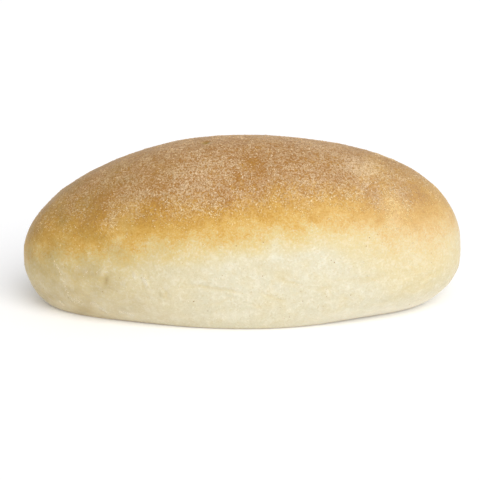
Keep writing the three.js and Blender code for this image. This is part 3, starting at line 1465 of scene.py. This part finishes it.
@dataclass(frozen=True)
class Grain:
    """One kind of loose grain: a small faceted lump, stretched and laid flat."""

    length: float
    spread: float
    longest: float
    slimness: float
    flatness: float
    sunk: float
    rounded: bool = False
    shortest_share: float = 0.5
    uneven: Span = (0.8, 1.25)

    def lump(self) -> tuple[Array, list]:
        """Model one grain of unit length.

        Returns:
            Its vertices, one row each, and its faces.
        """
        shell = bmesh.new()
        if self.rounded:
            bmesh.ops.create_icosphere(shell, subdivisions=1, radius=0.5)
        else:
            bmesh.ops.create_uvsphere(shell, u_segments=4, v_segments=2, radius=0.5)
        shell.verts.index_update()
        corners = np.array([vertex.co[:] for vertex in shell.verts])
        faces = [[vertex.index for vertex in face.verts] for face in shell.faces]
        shell.free()
        return corners, faces

    def scatter(self, name: str, spots: Array, dice: np.random.Generator) -> bpy.types.Mesh:
        """Join one stretched and turned grain for each spot into a mesh.

        Args:
            name: The mesh's name.
            spots: Rows of the skin.
            dice: The source of chance.

        Returns:
            The mesh, in metres.
        """
        corners, faces = self.lump()
        count = len(spots)
        normals = spots[:, NORMAL] / np.linalg.norm(spots[:, NORMAL], axis=1, keepdims=True)
        heading = np.cross(normals, dice.normal(size=(count, 3)))
        heading /= np.maximum(np.linalg.norm(heading, axis=1, keepdims=True), TINY)
        length = self.length * np.exp(self.spread * dice.normal(size=count))
        length = np.clip(length, self.shortest_share * self.length, self.longest)
        width = length * self.slimness * dice.uniform(*self.uneven, count)
        height = width * self.flatness * dice.uniform(*self.uneven, count)
        local = corners[None, :, :] * np.stack((length, width, height), axis=1)[:, None, :]
        local[:, :, 2] += (0.5 - self.sunk) * height[:, None]
        axes = np.stack((heading, np.cross(normals, heading), normals), axis=1)
        verts = spots[:, None, PLACE] + np.einsum("gvk,gkd->gvd", local, axes)
        steps = np.arange(count) * len(corners)
        joined = (np.array(faces)[None, :, :] + steps[:, None, None]).reshape(-1, 3)
        mesh = bpy.data.meshes.new(name)
        mesh.from_pydata((verts.reshape(-1, 3) * MM).tolist(), [], joined.tolist())
        mesh.shade_smooth()
        store(mesh, "toast", np.repeat(dice.random(count), len(corners)))
        store(mesh, "browning", np.repeat(spots[:, BROWNING], len(corners)))
        store(mesh, "dullness_and_shade", np.repeat(spots[:, DULLNESS_AND_SHADE], len(corners)))
        return mesh


@dataclass(frozen=True)
class RubbedLine:
    """Grains of bench flour rubbed into one flank along a line."""

    side: Side
    x: float
    z: float
    tilt: float
    length: float
    width: float
    count: int
    looseness: float = 0.3

    def spots(self, skin: Skin, dice: np.random.Generator) -> list[Array]:
        """Lay the grains.

        Args:
            skin: The crust that they lie on.
            dice: The source of chance.

        Returns:
            One row of the skin for each grain, but never a dull or shaded one.
        """
        turn = math.radians(self.tilt)
        along = self.length * dice.uniform(-0.5, 0.5, self.count)
        across = self.width * dice.normal(0.0, self.looseness, self.count)
        x = self.x + along * math.cos(turn) - across * math.sin(turn)
        z = self.z + along * math.sin(turn) + across * math.cos(turn)
        rows = [skin.spot_on(self.side, *place) for place in zip(x, z)]
        for row in rows:
            row[DULLNESS_AND_SHADE] = 0.0
        return rows


# Each line of grains: x, z, tilt, length, width and count.
RUBBED_LINES = marks_of(RubbedLine, (
    (-57.1, 17, -61, 5.2, 0.5, 22), (-55, 11.6, -73, 6.4, 0.8, 14), (-54.2, 9, -70, 1.8, 0.8, 9),
    (-56.7, 4.2, -51, 2.4, 0.6, 64), (-51.3, 6.2, -15, 4.2, 2, 40), (-44.8, 5.6, -35, 4.6, 1.6, 34),
    (-42.4, 3.9, -33, 2.6, 0.6, 20), (-35.8, 4, -13, 4.8, 0.8, 52), (-44, 18, 41, 2.4, 0.6, 5),
    (-47.9, 17, 68, 2.8, 0.5, 6), (-51, 18.8, 0, 0.8, 0.8, 3), (-47, 23.3, 0, 0.6, 0.6, 6),
    (-56.4, 23.9, 0, 0.6, 0.6, 5), (-41.8, 24.8, 60, 1.2, 0.5, 6), (-29.2, 16.4, -70, 2.8, 0.9, 12),
), FRONT) + marks_of(RubbedLine, (
    (52, 6, 12, 6, 1.4, 36), (-40, 5, -20, 7, 1.4, 36), (-57, 15, -60, 6, 0.5, 24),
), BACK)


@dataclass(frozen=True)
class FlourDusting:
    """The loose flour: fine grains all over the cap, and fewer small clumps."""

    skin: Skin
    finish: FlourFinish
    seed: int = 5
    fine_count: int = 23500
    clump_count: int = 7500
    clump_power: float = 1.8
    fine: Grain = Grain(0.36, 0.26, 0.8, slimness=0.66, flatness=0.38, sunk=0.35)
    clump: Grain = Grain(0.42, 0.28, 0.9, slimness=0.72, flatness=0.40, sunk=0.35, rounded=True)
    threads: Unevenness = Unevenness((1.1, 1.1, 1.1), 1.0, octaves=1, phase=0.6)
    thread_width: float = 0.16
    crowding: Unevenness = Unevenness((3.2, 3.2, 3.2), 1.0, octaves=2, phase=8.8)
    crowd_usual: float = 0.9
    crowd_contrast: float = 0.8
    crowd_limits: Span = (0.3, 1.5)
    off_thread: float = 0.6
    tries: int = 4
    evenness: float = 0.5
    lines: tuple[RubbedLine, ...] = RUBBED_LINES
    foot: float = 1.0

    def build(self, effects: Effects) -> list[bpy.types.Object]:
        """Model and dress both kinds of grain.

        Args:
            effects: The shared effects.

        Returns:
            The two pieces.
        """
        dice = np.random.default_rng(self.seed)
        material = self.finish.material(effects)
        spots = self._spots(self.fine_count, 1.0, dice)
        rubbed = [row for line in self.lines for row in line.spots(self.skin, dice)]
        fine = self.fine.scatter("flour_fine", np.vstack((spots, rubbed)), dice)
        spots = self._spots(self.clump_count, self.clump_power, dice)
        clumps = self.clump.scatter("flour_clumps", spots, dice)
        made = []
        for mesh in (fine, clumps):
            piece = object_from(mesh.name, mesh, material)
            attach(piece, BODY)
            made.append(piece)
        return made

    def _spots(self, count: int, power: float, dice: np.random.Generator) -> Array:
        """Pick the spots of one kind of grain.

        Args:
            count: How many grains to lay.
            power: How strongly they keep to the densest flour.
            dice: The source of chance.

        Returns:
            One row of the skin for each grain.
        """
        weights = self.skin.flour ** power * (self.skin.rows[:, 2] > self.foot)
        spots = self.skin.settle(weights, self.tries * count, dice)
        winding = bell(self.threads.at(spots[:, PLACE]) / self.thread_width)
        crowd = self.crowd_usual + self.crowd_contrast * self.crowding.at(spots[:, PLACE])
        chance = (self.off_thread + winding) * np.clip(crowd, *self.crowd_limits)
        chance = chance * dice.random(len(spots)) ** self.evenness
        return spots[np.argsort(-chance)[:count]]


@dataclass(frozen=True)
class BranFlecks:
    """Tiny dark flecks of bran in the pale skin."""

    skin: Skin
    finish: BranFinish
    seed: int = 11
    placed: tuple[tuple[float, float], ...] = (
        (0.1, 13.4), (10.3, 12.7), (24.9, 8.3), (17.8, 13.8), (-10.4, 7.2), (-5.9, 19.0),
        (9.6, 28.1), (6.4, 29.0), (7.7, 27.3), (-17.9, 22.4), (-11.3, 23.3), (-42.8, 11.5),
        (-44.8, 17.1), (38.6, 29.1), (41.1, 29.7), (42.6, 27.4), (-41.4, 15.4),
    )
    strewn_count: int = 80
    fading: float = 1.6
    foot: float = 2.0
    fleck: Grain = Grain(0.34, 0.25, 0.6, slimness=0.7, flatness=0.4, sunk=0.55, rounded=True)

    def build(self, effects: Effects) -> bpy.types.Object:
        """Model and dress the flecks.

        Args:
            effects: The shared effects.

        Returns:
            The finished piece.
        """
        dice = np.random.default_rng(self.seed)
        rows = self.skin.rows
        named = [self.skin.spot_on(FRONT, x, z) for x, z in self.placed]
        pale = np.clip(1.0 - self.fading * rows[:, BROWNING], 0.0, 1.0) * (rows[:, 2] > self.foot)
        strewn = self.skin.settle(pale, self.strewn_count, dice)
        mesh = self.fleck.scatter("bran_flecks", np.vstack((named, strewn)), dice)
        piece = object_from("bran_flecks", mesh, self.finish.material(effects))
        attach(piece, BODY)
        return piece


# ---------------------------------------------------------------- studio


@dataclass(frozen=True)
class SunLamp:
    """A broad, even, white light from far away."""

    name: str
    direction: tuple[float, float, float]
    strength: float
    spread: float

    def build(self) -> None:
        """Add the lamp, shining from its direction towards the origin."""
        lamp = bpy.data.lights.new(self.name, "SUN")
        lamp.energy = self.strength
        lamp.angle = math.radians(self.spread)
        holder = bpy.data.objects.new(self.name, lamp)
        holder.rotation_mode = "QUATERNION"
        holder.rotation_quaternion = Vector(self.direction).to_track_quat("Z", "Y")
        holder.location = Vector(self.direction).normalized()
        bpy.context.scene.collection.objects.link(holder)


@dataclass(frozen=True)
class Studio:
    """The white table, the soft light and the camera."""

    shape: RollShape
    table_finish: TableFinish = TableFinish()
    table_radius: float = 4000.0
    sky: float = 0.57
    lamps: tuple[SunLamp, ...] = (
        SunLamp("key_lamp", (0.36, -0.66, 0.66), 1.95, 50.0),
        SunLamp("low_fill_lamp", (0.50, -0.85, 0.18), 0.43, 60.0),
    )
    elevation: float = 16.0
    distance: float = 511.9
    aim_height: float = 27.0
    aim_right: float = -1.7
    aim_up: float = -6.7
    lens: float = 120.0
    sensor: float = 36.0

    def build(self, effects: Effects) -> None:
        """Set up the table, the sky, the lamps and the camera.

        Args:
            effects: The shared effects.
        """
        self._table(effects)
        self._sky()
        for lamp in self.lamps:
            lamp.build()
        self._camera()
        bpy.context.scene.view_settings.view_transform = "Standard"

    def _table(self, effects: Effects) -> None:
        """Lay the round white table under the roll.

        Args:
            effects: The shared effects.
        """
        disc = bmesh.new()
        bmesh.ops.create_circle(disc, cap_ends=True, segments=96, radius=self.table_radius * MM)
        mesh = bpy.data.meshes.new("table")
        disc.to_mesh(mesh)
        disc.free()
        table = object_from("table", mesh, self.table_finish.material(effects))

    def _sky(self) -> None:
        """Surround the scene with even white light."""
        world = bpy.data.worlds.new("studio_sky")
        bpy.context.scene.world = world
        world.use_nodes = True
        graph = Graph(world.node_tree)
        feeds = {"Color": (1.0, 1.0, 1.0, 1.0), "Strength": self.sky}
        glow = graph.add("ShaderNodeBackground", feeds)
        graph.add("ShaderNodeOutputWorld", {"Surface": glow.outputs["Background"]})

    def _camera(self) -> None:
        """Look at the front flank from a little above."""
        turn = math.radians(self.elevation)
        upward = Vector((0.0, math.sin(turn), math.cos(turn)))
        target = Vector((self.shape.crown_x, 0.0, self.aim_height))
        eye = target + self.distance * Vector((0.0, -math.cos(turn), math.sin(turn)))
        aim = target + self.aim_right * Vector((1.0, 0.0, 0.0)) + self.aim_up * upward
        data = bpy.data.cameras.new("camera")
        data.lens = self.lens
        data.sensor_width = self.sensor
        data.clip_start, data.clip_end = 0.01, 20.0
        camera = bpy.data.objects.new("camera", data)
        camera.location = eye * MM
        camera.rotation_mode = "QUATERNION"
        camera.rotation_quaternion = (aim - eye).to_track_quat("-Z", "Y")
        bpy.context.scene.collection.objects.link(camera)
        bpy.context.scene.camera = camera


def main() -> None:
    """Build the roll, its flour and the studio."""
    logging.basicConfig(level=logging.INFO, format="%(name)s: %(message)s")
    low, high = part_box(NODE)
    shape = RollShape(low / MM, high / MM)
    effects = Effects.make()
    body = RollBody(shape, Relief(), Bake(), FlourCover(), CrustFinish())
    crust = body.build(effects)
    log.info("%s: %d faces", crust.name, len(crust.data.polygons))
    skin = Skin.of(crust.data)
    loose = FlourDusting(skin, FlourFinish()).build(effects)
    loose.append(BranFlecks(skin, BranFinish()).build(effects))
    for piece in loose:
        log.info("%s: %d faces", piece.name, len(piece.data.polygons))
    Studio(shape).build(effects)
    log.info("studio: table, sky, lamps and camera")


if __name__ == "__main__":
    main()
